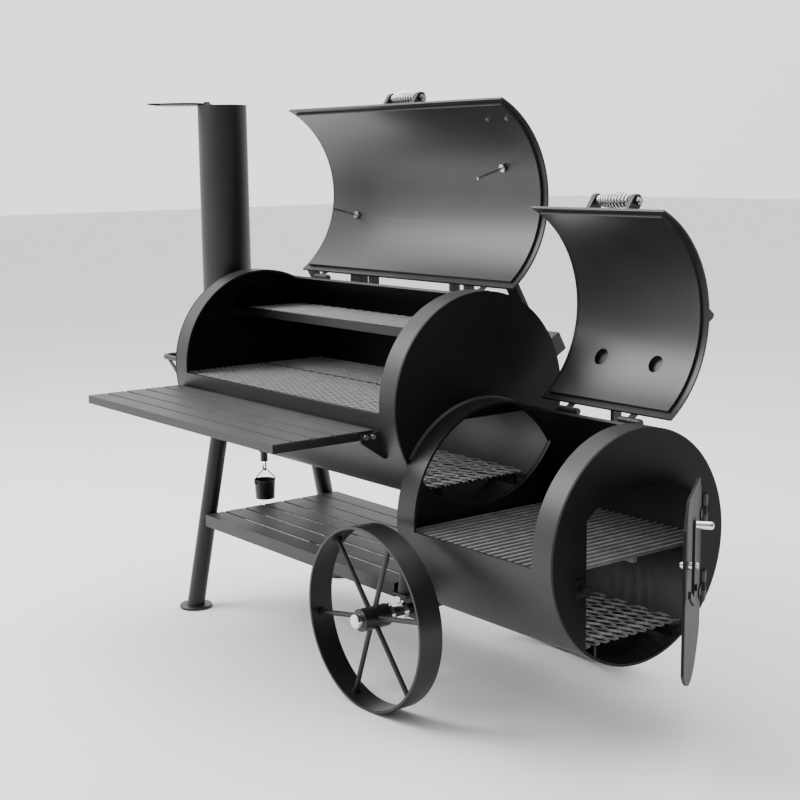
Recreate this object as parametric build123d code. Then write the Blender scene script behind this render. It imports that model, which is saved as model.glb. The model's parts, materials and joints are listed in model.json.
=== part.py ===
from build123d import *
import os
from math import acos, atan2, cos, degrees, radians, sin

# Offset smoker: a horizontal cooking pipe with a stack at one end and a lower firebox pipe at the other.
# Millimetres. X runs along the pipes, from the stack to the firebox. The cook stands on the -Y side. Z is up.
# The sub-parts are drawn about the chamber's axis, with x = 0 at the joint between chamber and firebox, and
# are moved at the end so that the origin lies on the ground under the middle of the whole smoker.

# ---- driving dimensions -------------------------------------------------------------------------------
PIPE_R = 254.0            # 20 inch pipe, outer radius
WALL = 6.0                # pipe and end plates
PIPE_IN = PIPE_R - WALL
CHAMBER_LEN = 1000.0
FIREBOX_LEN = 508.0
FIREBOX_Z = -250.0        # firebox axis below the chamber axis
AXIS_HEIGHT = 678.0       # chamber axis above the ground
FLOOR = -AXIS_HEIGHT
MID_X = -274.2            # middle of the whole smoker along X, lids and door as drawn
MID_Y = -79.0             # middle of the whole smoker across Y

# Lids: both are cut from the pipe and ride on hinges 30 degrees behind the top.
LIP_PHI = -3.0            # angles round a pipe count from the front (-Y) over the top
REAR_PHI = 114.3
KERF = 7.0                # gap between a lid sheet and its opening
STRAP_W = 30.0
STRAP_T = 5.0
STRAP_LAP = 10.0          # strap beyond the opening's edge
STRAP_GAP = 0.5           # closed strap to pipe
HINGE_PHI = 120.0
HINGE_R = 266.0
LID_OPEN = 120.0          # as drawn, the lids stand open
CHAMBER_OPENING = (-940.0, -62.0)
FIREBOX_OPENING = (62.0, 446.0)

# Hinges
KNUCKLE_R = 8.5
PIN_R = 5.0
RUN = 0.05                # radial clearance of a running fit
KNUCKLE_LEN = 20.0
KNUCKLE_GAP = 0.5
LEAF_T = 3.0
MAIN_HINGES_X = (-841.0, -161.0)
FIREBOX_HINGES_X = (151.0, 346.0)

# Handles
POST_PITCH = 118.0
POST_PHI = 5.0
GRIP_R = 305.0            # grip axis from the pipe's axis
POST_W = 30.0
POST_T = 12.0
GRIP_BOLT_R = 5.0

# Counterweight
ARM_W = 40.0
ARM_T = 12.0
ARM_OFFSET = 27.0         # inner face of the arm in front of the hinge line
WEIGHT = 50.0             # square bar
ARM_REACH = 215.0

# Stack
STACK_R = 70.0
STACK_WALL = 5.0
STACK_X = -1134.0
FLUE_Z = 141.0
STACK_TOP = 713.0
CAP_R = 78.0
CAP_T = 5.0
CAP_PIVOT = 84.0          # pivot from the stack's axis
CAP_SWING = -90.0         # as drawn, swung off the stack

# Grates
GRATE_BOTTOM = -38.0
GRATE_H = 20.0
ANGLE_T = 3.0
FRONT_GRATE_Y = (-236.0, 25.0)
REAR_GRATE_Y = (32.0, 225.0)
RACK_BOTTOM = 124.0
RACK_H = 22.0
RACK_Y = (-20.0, 155.0)
COAL_TOP = -190.0         # charcoal grate top, below its own pipe's axis
COAL_T = 5.0
COAL_Y = 150.0
COOK_BAR_R = 5.0
COOK_BARS = 22
COOK_Z = -22.0            # bar axis, below the firebox axis

# Door
DOOR_HALF = 160.0         # half the opening's width
DOOR_TOP = 128.0          # opening's top above the firebox axis
DOOR_CHAMFER = (56.0, 46.0)
DOOR_LAP = 12.0
DOOR_T = 6.0
DOOR_FOOT_R = 262.0       # the door's foot stands proud of the pipe
DOOR_HINGE = (517.0, 182.0)
DOOR_OPEN = 36.0
LATCH_W = 318.0           # latch pivot from the hinge axis
LATCH_Z = -232.0

# Legs, axle and wheels
LEG_R = 24.0
LEG_FOOT_Y = 250.0
LEG_TOP = (155.0, -200.0)
LEFT_LEG_X = -944.0
RIGHT_LEG_X = -32.0
RIGHT_LEG_END = -430.0
FOOT_R = 45.0
FOOT_T = 8.0
AXLE_X = -14.0
AXLE_Z = -466.0
AXLE_R = 12.0
WHEEL_R = 212.0
RIM_T = 6.0
WHEEL_Y = (285.0, 346.0)
SPOKES = 6
SPOKE_R = 6.0
SPOKE_START = 10.0
HUB_R = 26.0

# Shelves
SHELF_X = (-977.0, -79.0)
SHELF_Y = (-530.0, -258.0)
SHELF_TOP = -50.0
SHELF_SLATS = 5
LOW_X = (-920.0, -56.0)
LOW_Y = (-222.0, 222.0)
LOW_TOP = -413.0
LOW_SLATS = 7
SLAT_T = 3.0
SLAT_GAP = 7.0

# Drain, hook and bucket
DRAIN_X = -960.0
DRAIN_R = 10.5
DRAIN_END = -297.0
HOOK_WIRE = 2.0
HOOK_BEND = 7.0
BAIL_WIRE = 1.5
BUCKET_TOP = -352.0
BUCKET_H = 54.0
BUCKET_R = (30.0, 27.0)
BUCKET_WALL = 1.2

parts = {}


# ---- helpers ------------------------------------------------------------------------------------------
def box(x, y, z):
    """A block between the two values of each axis."""
    size = (x[1] - x[0], y[1] - y[0], z[1] - z[0])
    middle = ((x[0] + x[1]) / 2, (y[0] + y[1]) / 2, (z[0] + z[1]) / 2)
    return Pos(*middle) * Box(*size)


def rod(start, end, radius):
    """A round bar between two points."""
    start = Vector(*start)
    end = Vector(*end)
    way = end - start
    return Plane(origin=start, z_dir=way) * Cylinder(
        radius, way.length, align=(Align.CENTER, Align.CENTER, Align.MIN))


def ring_x(x, axis_z, r_out, r_in):
    """A pipe along X."""
    length = x[1] - x[0]
    tube = rod((x[0], 0, axis_z), (x[1], 0, axis_z), r_out)
    return tube - rod((x[0] - 1, 0, axis_z), (x[0] + length + 1, 0, axis_z), r_in)


def sector_x(x, axis_z, r_in, r_out, phi):
    """Part of a pipe along X, between two angles counted from the front over the top."""
    a0 = 180 - phi[1]
    sweep_deg = phi[1] - phi[0]
    outer = CenterArc((0, 0), r_out, a0, sweep_deg)
    inner = CenterArc((0, 0), r_in, a0, sweep_deg)
    face = make_face([outer, Line(inner @ 0, outer @ 0), inner, Line(inner @ 1, outer @ 1)])
    return Pos(x[0], 0, axis_z) * extrude(Plane.YZ * face, amount=x[1] - x[0])


def round_pipe(axis_z, radius, phi):
    """The point (y, z) on a circle round a pipe's axis."""
    return -radius * cos(radians(phi)), axis_z + radius * sin(radians(phi))


def turned(shape, axis_z, phi):
    """Move a shape drawn standing on Z, at the pipe's axis, so that its Z points out at an angle."""
    return Pos(0, 0, axis_z) * Rot(90 - phi, 0, 0) * shape


def opened(shape, axis_z):
    """Swing a closed lid's piece to the open position."""
    y, z = round_pipe(axis_z, HINGE_R, HINGE_PHI)
    return Pos(0, y, z) * Rot(-LID_OPEN, 0, 0) * Pos(0, -y, -z) * shape


def door_swung(shape):
    """Swing a closed door's piece to the open position."""
    x, y = DOOR_HINGE
    return Pos(x, y, 0) * Rot(0, 0, DOOR_OPEN) * Pos(-x, -y, 0) * shape


def angle_frame(x, y, bottom, height, flange=20.0, cross=()):
    """A rectangle of angle iron, legs down and flange on top, with flat cross bars under the mesh."""
    top = bottom + height
    skirt = box(x, y, (bottom, top))
    skirt -= box((x[0] + ANGLE_T, x[1] - ANGLE_T), (y[0] + ANGLE_T, y[1] - ANGLE_T), (bottom, top))
    rim = box(x, y, (top - ANGLE_T, top))
    rim -= box((x[0] + flange, x[1] - flange), (y[0] + flange, y[1] - flange), (top - ANGLE_T, top))
    frame = skirt + rim
    for middle in cross:
        frame += box((middle - 12, middle + 12), (y[0] + 1, y[1] - 1), (top - ANGLE_T, top))
    return frame


def slats(x, y, top, count):
    """Flat bars side by side along X."""
    pitch = (y[1] - y[0] + SLAT_GAP) / count
    bars = []
    for i in range(count):
        start = y[0] + i * pitch
        bars.append(box(x, (start, start + pitch - SLAT_GAP), (top - SLAT_T, top)))
    return bars


def expanded_mesh(x, y, z, way_long, way_short, strand):
    """Expanded metal: crossing strands with diamond openings, inside a flat edge."""
    width = x[1] - x[0]
    depth = y[1] - y[0]
    lean = degrees(atan2(way_short, way_long))
    reach = width + depth * way_long / way_short
    strands = Sketch()
    count = int(reach / way_long) + 2
    for i in range(-count // 2 - 1, count // 2 + 2):
        for side in (-1, 1):
            bar = Pos(i * way_long, 0) * Rot(0, 0, side * lean) * Rectangle(reach, strand)
            strands += bar
    sheet = Rectangle(width, depth)
    edge = sheet - Rectangle(width - 2 * strand, depth - 2 * strand)
    mesh = (strands & sheet) + edge
    middle = Pos((x[0] + x[1]) / 2, (y[0] + y[1]) / 2, z[0])
    return middle * extrude(mesh, amount=z[1] - z[0])


def group(name, *shapes):
    """Add shapes to a node. A node may hold several separate solids."""
    node = parts.setdefault(name, [])
    for shape in shapes:
        for solid in shape.solids():
            node.append(Pos(-MID_X, -MID_Y, AXIS_HEIGHT) * solid)


# ---- pipes and end plates -------------------------------------------------------------------------------
def shell(x, opening, axis_z):
    pipe = ring_x(x, axis_z, PIPE_R, PIPE_IN)
    return pipe - sector_x(opening, axis_z, PIPE_IN - 5, PIPE_R + 5, (LIP_PHI, REAR_PHI))


def throat(x):
    """The lens that chamber and firebox share."""
    upper = rod((x[0], 0, 0), (x[1], 0, 0), PIPE_IN)
    lower = rod((x[0], 0, FIREBOX_Z), (x[1], 0, FIREBOX_Z), PIPE_IN)
    return upper & lower


def door_outline(x, grow, foot_r):
    """The door's outline: upright sides, chamfered top corners, and a foot that follows the pipe."""
    half = DOOR_HALF + grow
    top = DOOR_TOP + grow
    side = top - DOOR_CHAMFER[1]
    corner = half - DOOR_CHAMFER[0]
    outline = Polyline((-half, side), (-corner, top), (corner, top), (half, side),
                       (half, -foot_r - 1), (-half, -foot_r - 1), close=True)
    slab = extrude(Plane.YZ * make_face(outline), amount=x[1] - x[0])
    slab = Pos(x[0], 0, FIREBOX_Z) * slab
    return slab & rod((x[0] - 1, 0, FIREBOX_Z), (x[1] + 1, 0, FIREBOX_Z), foot_r)


def make_pipes():
    chamber = shell((-CHAMBER_LEN + WALL, -WALL), CHAMBER_OPENING, 0)
    chamber -= rod((DRAIN_X, 0, -PIPE_R - 5), (DRAIN_X, 0, -PIPE_IN + 5), DRAIN_R - 3)
    group("chamber_shell", chamber)

    left = rod((-CHAMBER_LEN, 0, 0), (-CHAMBER_LEN + WALL, 0, 0), PIPE_R)
    left -= rod((-CHAMBER_LEN - 1, 0, FLUE_Z), (-CHAMBER_LEN + WALL + 1, 0, FLUE_Z), STACK_R - STACK_WALL)
    group("chamber_left_end", left)

    right = rod((-WALL, 0, 0), (0, 0, 0), PIPE_R) - throat((-WALL - 1, 1))
    group("chamber_right_end", right)

    firebox = shell((WALL, FIREBOX_LEN - WALL), FIREBOX_OPENING, FIREBOX_Z)
    group("firebox_shell", firebox)
    plate = rod((0, 0, FIREBOX_Z), (WALL, 0, FIREBOX_Z), PIPE_R) - throat((-1, WALL + 1))
    front = rod((FIREBOX_LEN - WALL, 0, FIREBOX_Z), (FIREBOX_LEN, 0, FIREBOX_Z), PIPE_R)
    front -= door_outline((FIREBOX_LEN - WALL - 1, FIREBOX_LEN + 1), 0, PIPE_IN)
    group("firebox_right_end", front)

    bead = 5.0
    weld_half = degrees(acos(-FIREBOX_Z / 2 / PIPE_R))
    weld = sector_x((0, bead), FIREBOX_Z, PIPE_R, PIPE_R + bead, (90 - weld_half + 3, 90 + weld_half - 3))
    cone = Plane.YZ * Cone(PIPE_R + bead, PIPE_R, bead, align=(Align.CENTER, Align.CENTER, Align.MIN))
    group("firebox_left_end", plate + (weld & Pos(0, 0, FIREBOX_Z) * cone))


# ---- lids -----------------------------------------------------------------------------------------------
def lid_sheet(opening, axis_z):
    gap = degrees(KERF / PIPE_R)
    span = (opening[0] + KERF, opening[1] - KERF)
    return sector_x(span, axis_z, PIPE_IN, PIPE_R, (LIP_PHI + gap, REAR_PHI - gap))


def strap_span():
    lap = degrees(STRAP_LAP / PIPE_R)
    return LIP_PHI - lap, REAR_PHI + lap


def lid_strap(opening, axis_z):
    """A flat bar round all four edges of the lid, outside the sheet."""
    low, high = strap_span()
    width = degrees(STRAP_W / PIPE_R)
    r_in = PIPE_R + STRAP_GAP
    r_out = r_in + STRAP_T
    span = (opening[0] - STRAP_LAP, opening[1] + STRAP_LAP)
    strap = sector_x(span, axis_z, r_in, r_out, (low, high))
    window = (span[0] + STRAP_W, span[1] - STRAP_W)
    strap -= sector_x(window, axis_z, r_in - 1, r_out + 1, (low + width, high - width))
    weld = sector_x((opening[0] + KERF, opening[1] - KERF), axis_z, PIPE_R, r_in + 1,
                    (low + width - 2, low + width))
    weld += sector_x((opening[0] + KERF, opening[1] - KERF), axis_z, PIPE_R, r_in + 1,
                     (high - width, high - width + 2))
    return strap + weld


def knuckles(x_list, axis_z, moving):
    """Hinge leaves with their barrels. The moving leaf carries the middle barrel."""
    y, z = round_pipe(axis_z, HINGE_R, HINGE_PHI)
    leaves = []
    strap_r = PIPE_R + STRAP_GAP + STRAP_T
    for middle in x_list:
        half = 1.5 * KNUCKLE_LEN
        if moving:
            spans = [(middle - KNUCKLE_LEN / 2 + KNUCKLE_GAP, middle + KNUCKLE_LEN / 2 - KNUCKLE_GAP)]
            leaf_r = strap_r
            leaf_phi = (strap_span()[1] - 6, HINGE_PHI)
        else:
            spans = [(middle - half, middle - KNUCKLE_LEN / 2), (middle + KNUCKLE_LEN / 2, middle + half)]
            leaf_r = PIPE_R
            leaf_phi = (HINGE_PHI, HINGE_PHI + 10)
        leaf = Part()
        for span in spans:
            leaf += sector_x(span, axis_z, leaf_r, leaf_r + LEAF_T, leaf_phi)
            leaf += rod((span[0], y, z), (span[1], y, z), KNUCKLE_R)
            if not moving:
                leaf += sector_x(span, axis_z, PIPE_R, HINGE_R, (HINGE_PHI, HINGE_PHI + 2))
        if not moving:
            leaf += sector_x((middle - half, middle + half), axis_z, leaf_r, leaf_r + LEAF_T,
                             (leaf_phi[0] + 3, leaf_phi[1]))
        leaf -= rod((middle - half - 1, y, z), (middle + half + 1, y, z), PIN_R + RUN)
        leaves.append(leaf)
    return leaves


def hinge_pins(x_list, axis_z):
    y, z = round_pipe(axis_z, HINGE_R, HINGE_PHI)
    half = 1.5 * KNUCKLE_LEN
    head = 3.0
    pins = []
    for middle in x_list:
        pin = rod((middle - half - head, y, z), (middle + half + head, y, z), PIN_R)
        pin += rod((middle - half - head, y, z), (middle - half, y, z), PIN_R + 2)
        pin += rod((middle + half, y, z), (middle + half + head, y, z), PIN_R + 2)
        pins.append(pin)
    return pins


def handle_posts(middle, axis_z):
    """Two flat bars with round tops that carry the grip's bolt."""
    posts = []
    for side in (-1, 1):
        x = middle + side * POST_PITCH / 2
        post = Pos(x, 0, (PIPE_R + GRIP_R) / 2) * Box(POST_T, POST_W, GRIP_R - PIPE_R + 20)
        post -= Pos(x, 0, GRIP_R + POST_W) * Box(POST_T + 2, POST_W + 2, 2 * POST_W)
        post += rod((x - POST_T / 2, 0, GRIP_R), (x + POST_T / 2, 0, GRIP_R), POST_W / 2)
        post -= rod((x - POST_T, 0, 0), (x + POST_T, 0, 0), PIPE_R)
        post -= rod((x - POST_T, 0, GRIP_R), (x + POST_T, 0, GRIP_R), GRIP_BOLT_R + RUN)
        posts.append(turned(post, axis_z, POST_PHI))
    return posts


def grip_bolt(middle, axis_z):
    half = (POST_PITCH + POST_T) / 2
    bolt = rod((middle - half - 10, 0, GRIP_R), (middle + half + 12, 0, GRIP_R), GRIP_BOLT_R)
    bolt += Pos(middle - half - 3.5, 0, GRIP_R) * (Rot(0, 90, 0) * extrude(RegularPolygon(9, 6), 3.5, both=True))
    bolt += Pos(middle + half + 4, 0, GRIP_R) * (Rot(0, 90, 0) * extrude(RegularPolygon(9, 6), 4, both=True))
    return turned(bolt, axis_z, POST_PHI)


def spring_grip(middle, axis_z):
    """A barrel-shaped coil grip: close turns round the bolt, widest in the middle."""
    turns = 14
    wire = 3.4
    length = POST_PITCH - POST_T - 2
    pitch = length / turns
    coils = Part()
    for i in range(turns):
        place = (i + 0.5) * pitch - length / 2
        bulge = 1 - (2 * place / length) ** 2
        coil_r = GRIP_BOLT_R + wire + 1.2 + 6.5 * bulge
        coils += Pos(middle + place, 0, GRIP_R) * (Rot(0, 90, 0) * Torus(coil_r, wire + 0.6))
    return turned(coils, axis_z, POST_PHI)


def make_lid(prefix, opening, axis_z, hinges_x, welded, extra_cuts):
    middle = (opening[0] + opening[1]) / 2
    sheet = lid_sheet(opening, axis_z)
    for piece in welded:
        sheet += piece
    for cut in extra_cuts:
        sheet -= cut
    group(prefix + "_sheet", opened(sheet, axis_z))
    group(prefix + "_strap", opened(lid_strap(opening, axis_z), axis_z))
    group(prefix + "_hinge_leaves", *[opened(leaf, axis_z) for leaf in knuckles(hinges_x, axis_z, True)])
    group("fixed_hinge_leaves", *knuckles(hinges_x, axis_z, False))
    group("hinge_pins", *hinge_pins(hinges_x, axis_z))
    group(prefix + "_handle_posts", *[opened(post, axis_z) for post in handle_posts(middle, axis_z)])
    group(prefix + "_bolts", opened(grip_bolt(middle, axis_z), axis_z))
    group(prefix + "_spring_grip", opened(spring_grip(middle, axis_z), axis_z))


def stop_lugs(blocks, axis_z):
    """Lugs on the pipe behind the hinges, that the open lid's strap rests on."""
    lugs = []
    rest_r = PIPE_R + STRAP_GAP + STRAP_T + 0.4
    lid_axis = axis_z + 2 * HINGE_R * sin(radians(HINGE_PHI))
    for x in blocks:
        lug = box(x, (148, 174), (axis_z + 150, axis_z + 275))
        lug -= rod((x[0] - 1, 0, axis_z), (x[1] + 1, 0, axis_z), PIPE_R)
        lug -= rod((x[0] - 1, 0, lid_axis), (x[1] + 1, 0, lid_axis), rest_r)
        lugs.append(lug)
    return lugs


def counterweight():
    """Two arms off the rear strap, and the square bar welded along their front faces."""
    strap_r = PIPE_R + STRAP_GAP + STRAP_T
    opening = CHAMBER_OPENING
    ends = (opening[0] - STRAP_LAP, opening[1] + STRAP_LAP)
    arm_top = HINGE_R + ARM_REACH
    arms = []
    for x0 in (ends[0], ends[1] - ARM_W):
        arm = box((x0, x0 + ARM_W), (-ARM_OFFSET - ARM_T, -ARM_OFFSET), (HINGE_R - 30, arm_top))
        arm -= rod((x0 - 1, 0, 0), (x0 + ARM_W + 1, 0, 0), strap_r)
        arms.append(opened(turned(arm, 0, HINGE_PHI), 0))
    group("counterweight", *arms)
    far = -ARM_OFFSET - ARM_T
    bar = box((ends[0] - 3, ends[1] + 3), (far - WEIGHT, far), (arm_top - WEIGHT, arm_top))
    bar = chamfer(bar.edges().filter_by(Axis.X), 2)
    group("counterweight", opened(turned(bar, 0, HINGE_PHI), 0))


def thermometer(x, phi):
    """A dial on the lid's outside, its stem through the lid, and the nut inside."""
    stem_r = 3.0
    dial_r = 38.0
    stem = rod((x, 0, PIPE_IN - 90), (x, 0, PIPE_R + 14), stem_r)
    nut = Pos(x, 0, PIPE_IN - 5) * extrude(RegularPolygon(11, 6), 3.5, both=True)
    nut -= rod((x, 0, PIPE_IN - 20), (x, 0, PIPE_R), stem_r + RUN)
    neck = rod((x, 0, PIPE_R + 2.5), (x, 0, PIPE_R + 14), 9)
    neck -= rod((x, 0, PIPE_R), (x, 0, PIPE_R + 20), stem_r)
    case = rod((x, 0, PIPE_R + 14), (x, 0, PIPE_R + 32), dial_r)
    case -= rod((x, 0, PIPE_R + 18), (x, 0, PIPE_R + 33), dial_r - 3)
    dial = rod((x, 0, PIPE_R + 18), (x, 0, PIPE_R + 20), dial_r - 3.2)
    needle = Pos(x + 8, 0, PIPE_R + 22.5) * Box(30, 2.4, 1)
    needle += rod((x, 0, PIPE_R + 20), (x, 0, PIPE_R + 23), 2.5)
    pieces = (stem, nut + needle, case + neck, dial)
    return [opened(turned(piece, 0, phi), 0) for piece in pieces]


THERMOMETERS = ((-189.0, 43.0), (-811.0, 74.0))
TAG_BOLTS_X = (-162.0, -93.0)
TAG_BOLT_PHI = 10.6


def make_main_lid():
    cuts = []
    for x, phi in THERMOMETERS:
        cuts.append(turned(rod((x, 0, PIPE_IN - 5), (x, 0, PIPE_R + 5), 3.0 + RUN), 0, phi))
    for x in TAG_BOLTS_X:
        cuts.append(turned(rod((x, 0, PIPE_IN - 5), (x, 0, PIPE_R + 5), 3.0 + RUN), 0, TAG_BOLT_PHI))
    make_lid("main_lid", CHAMBER_OPENING, 0, MAIN_HINGES_X, [], cuts)
    counterweight()
    made = [thermometer(x, phi) for x, phi in THERMOMETERS]
    for stem, small_parts, case, dial in made:
        group("thermometer_stems", stem, small_parts)
        group("thermometer_cases", case)
        group("thermometer_dials", dial)
    bolts = []
    for x in TAG_BOLTS_X:
        bolt = rod((x, 0, PIPE_IN - 5), (x, 0, PIPE_R + 8), 3)
        bolt += rod((x, 0, PIPE_IN - 4), (x, 0, PIPE_IN - 0.8), 6)
        bolt += rod((x, 0, PIPE_R + 1), (x, 0, PIPE_R + 5), 6)
        bolts.append(opened(turned(bolt, 0, TAG_BOLT_PHI), 0))
    group("main_lid_bolts", *bolts)
    group("lid_stops", *stop_lugs(((-725, -678), (-641, -627), (-298, -286), (-242, -230)), 0))


VENTS_X = (168.0, 337.0)
VENT_PHI = 87.0
VENT_HOLE_R = 20.0
VENT_COVER_R = 27.0
VENT_COVER_T = 4.0
VENT_PIVOT = 38.0


def vent_pivot_place(x):
    """The cover's pivot, beside the hole, on the firebox side and nearer the lip."""
    return x + VENT_PIVOT * cos(radians(45)), -VENT_PIVOT * sin(radians(45))


def vent_collars(x, seat):
    """A low collar round the hole and a boss for the pivot, both on the sheet's outside."""
    px, py = vent_pivot_place(x)
    under = rod((x - 80, 0, 0), (x + 80, 0, 0), PIPE_IN + 1)
    collar = rod((x, 0, PIPE_IN - 10), (x, 0, seat), VENT_HOLE_R + 4)
    boss = rod((px, py, PIPE_IN - 10), (px, py, seat), 8)
    return [turned(piece - under, FIREBOX_Z, VENT_PHI) for piece in (collar, boss)]


def vent_cover(x, seat):
    px, py = vent_pivot_place(x)
    cover = rod((x, 0, seat + 0.3), (x, 0, seat + VENT_COVER_T), VENT_COVER_R)
    cover += rod((px, py, seat + 0.3), (px, py, seat + VENT_COVER_T), 10)
    cover += Pos(x, 26, seat + 9) * Box(4, 16, 18 - VENT_COVER_T)
    cover -= rod((px, py, seat - 1), (px, py, seat + 9), 4 + RUN)
    return opened(turned(cover, FIREBOX_Z, VENT_PHI), FIREBOX_Z)


def vent_bolt(x, seat):
    px, py = vent_pivot_place(x)
    top = seat + VENT_COVER_T
    bolt = rod((px, py, seat), (px, py, top + 5), 4)
    bolt += rod((px, py, top + 0.3), (px, py, top + 5), 7)
    return opened(turned(bolt, FIREBOX_Z, VENT_PHI), FIREBOX_Z)


def make_firebox_lid():
    seat = PIPE_R + 6.0
    cuts = []
    collars = []
    for x, side in zip(VENTS_X, ("left", "right")):
        hole = rod((x, 0, PIPE_IN - 15), (x, 0, seat + 5), VENT_HOLE_R)
        cuts.append(turned(hole, FIREBOX_Z, VENT_PHI))
        collars += vent_collars(x, seat)
        group("firebox_vent_cover_" + side, vent_cover(x, seat))
        group("firebox_lid_bolts", vent_bolt(x, seat))
    make_lid("firebox_lid", FIREBOX_OPENING, FIREBOX_Z, FIREBOX_HINGES_X, collars, cuts)
    right = FIREBOX_OPENING[1] + STRAP_LAP
    strap_r = PIPE_R + STRAP_GAP + STRAP_T
    wedge = Polyline((-16, strap_r - 3), (0, strap_r + 15), (8, strap_r + 13), (18, strap_r - 3), close=True)
    lug = Pos(right - 8, 0, 0) * extrude(Plane.YZ * make_face(wedge), amount=8)
    lug -= rod((right - 10, 0, 0), (right + 2, 0, 0), strap_r)
    group("firebox_lid_strap", opened(turned(lug, FIREBOX_Z, 59.0), FIREBOX_Z))
    group("lid_stops", *stop_lugs(((270, 280),), FIREBOX_Z))


# ---- stack ----------------------------------------------------------------------------------------------
def make_stack():
    seam = Plane(origin=(STACK_X, 0, FLUE_Z), z_dir=(1, 0, -1))
    stack = rod((STACK_X, 0, FLUE_Z - 100), (STACK_X, 0, STACK_TOP), STACK_R)
    stack -= rod((STACK_X, 0, FLUE_Z - 101), (STACK_X, 0, STACK_TOP + 1), STACK_R - STACK_WALL)
    elbow = rod((STACK_X - 100, 0, FLUE_Z), (-CHAMBER_LEN, 0, FLUE_Z), STACK_R)
    elbow -= rod((STACK_X - 101, 0, FLUE_Z), (-CHAMBER_LEN + 1, 0, FLUE_Z), STACK_R - STACK_WALL)
    group("stack_pipe", split(stack, bisect_by=seam, keep=Keep.BOTTOM))
    group("stack_elbow", split(elbow, bisect_by=seam, keep=Keep.TOP))

    px = STACK_X - CAP_PIVOT
    sleeve_z = (STACK_TOP - 42, STACK_TOP + 1)
    sleeve = rod((px, 0, sleeve_z[0]), (px, 0, sleeve_z[1]), 10)
    web = box((px, STACK_X - STACK_R + 4), (-3, 3), (sleeve_z[0] + 3, sleeve_z[1] - 6))
    bracket = sleeve + web
    bracket -= rod((px, 0, sleeve_z[0] - 1), (px, 0, sleeve_z[1] + 1), PIN_R + RUN)
    bracket -= rod((STACK_X, 0, sleeve_z[0] - 1), (STACK_X, 0, sleeve_z[1] + 1), STACK_R)
    group("stack_pipe", bracket)

    bottom = sleeve_z[1] + 0.3
    cap = rod((STACK_X, 0, bottom), (STACK_X, 0, bottom + CAP_T), CAP_R)
    cap += box((px, STACK_X), (-16, 16), (bottom, bottom + CAP_T))
    cap += rod((px, 0, bottom), (px, 0, bottom + CAP_T), 16)
    cap += box((STACK_X + CAP_R - 4, STACK_X + CAP_R + 26), (-10, 10), (bottom, bottom + CAP_T))
    cap -= rod((px, 0, bottom - 1), (px, 0, bottom + CAP_T + 1), PIN_R + RUN)
    cap = Pos(px, 0, 0) * Rot(0, 0, CAP_SWING) * Pos(-px, 0, 0) * cap
    group("stack_cap", cap)

    pin_top = bottom + CAP_T + 0.3
    pin = rod((px, 0, sleeve_z[0] - 8), (px, 0, pin_top + 6), PIN_R)
    pin += rod((px, 0, pin_top), (px, 0, pin_top + 6), 9)
    pin += rod((px, 0, sleeve_z[0] - 8), (px, 0, sleeve_z[0]), 8)
    group("hinge_pins", pin)


# ---- inside the chamber and the firebox -------------------------------------------------------------------
def end_rails(y, bottom, height, flange):
    """Angle rails on both end plates, open towards the grate, with the flange at the bottom."""
    rails = []
    left = -CHAMBER_LEN + WALL
    right = -WALL
    for x0, inward in ((left, 1), (right, -1)):
        upright = sorted((x0, x0 + inward * ANGLE_T))
        ledge = sorted((x0, x0 + inward * flange))
        rail = box(upright, y, (bottom, bottom + height)) + box(ledge, y, (bottom, bottom + ANGLE_T))
        rails.append(rail)
    return rails


def coal_grate(x, axis_z, panels, braces_x):
    """A heavy expanded-metal charcoal grate on two upright bars welded to the pipe."""
    top = axis_z + COAL_TOP
    sheets = [expanded_mesh(x, y, (top - COAL_T, top), 68.0, 30.0, 7.0) for y in panels]
    group("charcoal_grates", *sheets)
    bars = []
    bore = rod((x[0] - 1, 0, axis_z), (x[1] + 1, 0, axis_z), PIPE_IN)
    for side in (-1, 1):
        y = sorted((side * 112, side * 118))
        bars.append(box((x[0], x[1]), y, (top - 60, top - COAL_T - 0.2)) & bore)
    for middle in braces_x:
        bars.append(box((middle - 3, middle + 3), (-112, 112), (top - 30, top - COAL_T - 0.2)))
    group("grate_rails", *bars)


def make_chamber_inside():
    inside = (-CHAMBER_LEN + WALL, -WALL)
    grate_x = (inside[0] + 5, inside[1] - 5)
    rests = GRATE_BOTTOM - ANGLE_T - 0.2
    group("grate_rails", *end_rails((-236, 236), rests, 20.0, 24.0))
    thirds = [grate_x[0] + (grate_x[1] - grate_x[0]) * i / 4 for i in (1, 2, 3)]
    for y in (FRONT_GRATE_Y, REAR_GRATE_Y):
        frame = angle_frame(grate_x, y, GRATE_BOTTOM, GRATE_H, cross=thirds)
        group("cooking_grate_frames", frame)
        top = GRATE_BOTTOM + GRATE_H
        mesh = box((grate_x[0] + 2, grate_x[1] - 2), (y[0] + 2, y[1] - 2), (top, top + 2))
        group("cooking_grate_meshes", mesh)

    group("grate_rails", *end_rails((-178, 178), RACK_BOTTOM - ANGLE_T - 0.2, 20.0, 20.0))
    group("upper_rack_frame", angle_frame(grate_x, RACK_Y, RACK_BOTTOM, RACK_H, flange=22.0, cross=thirds))
    top = RACK_BOTTOM + RACK_H
    mesh = box((grate_x[0] + 2, grate_x[1] - 2), (RACK_Y[0] + 2, RACK_Y[1] - 2), (top, top + 2))
    group("upper_rack_mesh", mesh)
    coal_grate((inside[0] + 9, inside[1] - 6), 0, ((-COAL_Y, 45), (52, COAL_Y)),
               (-900, -500, -100))


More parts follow.
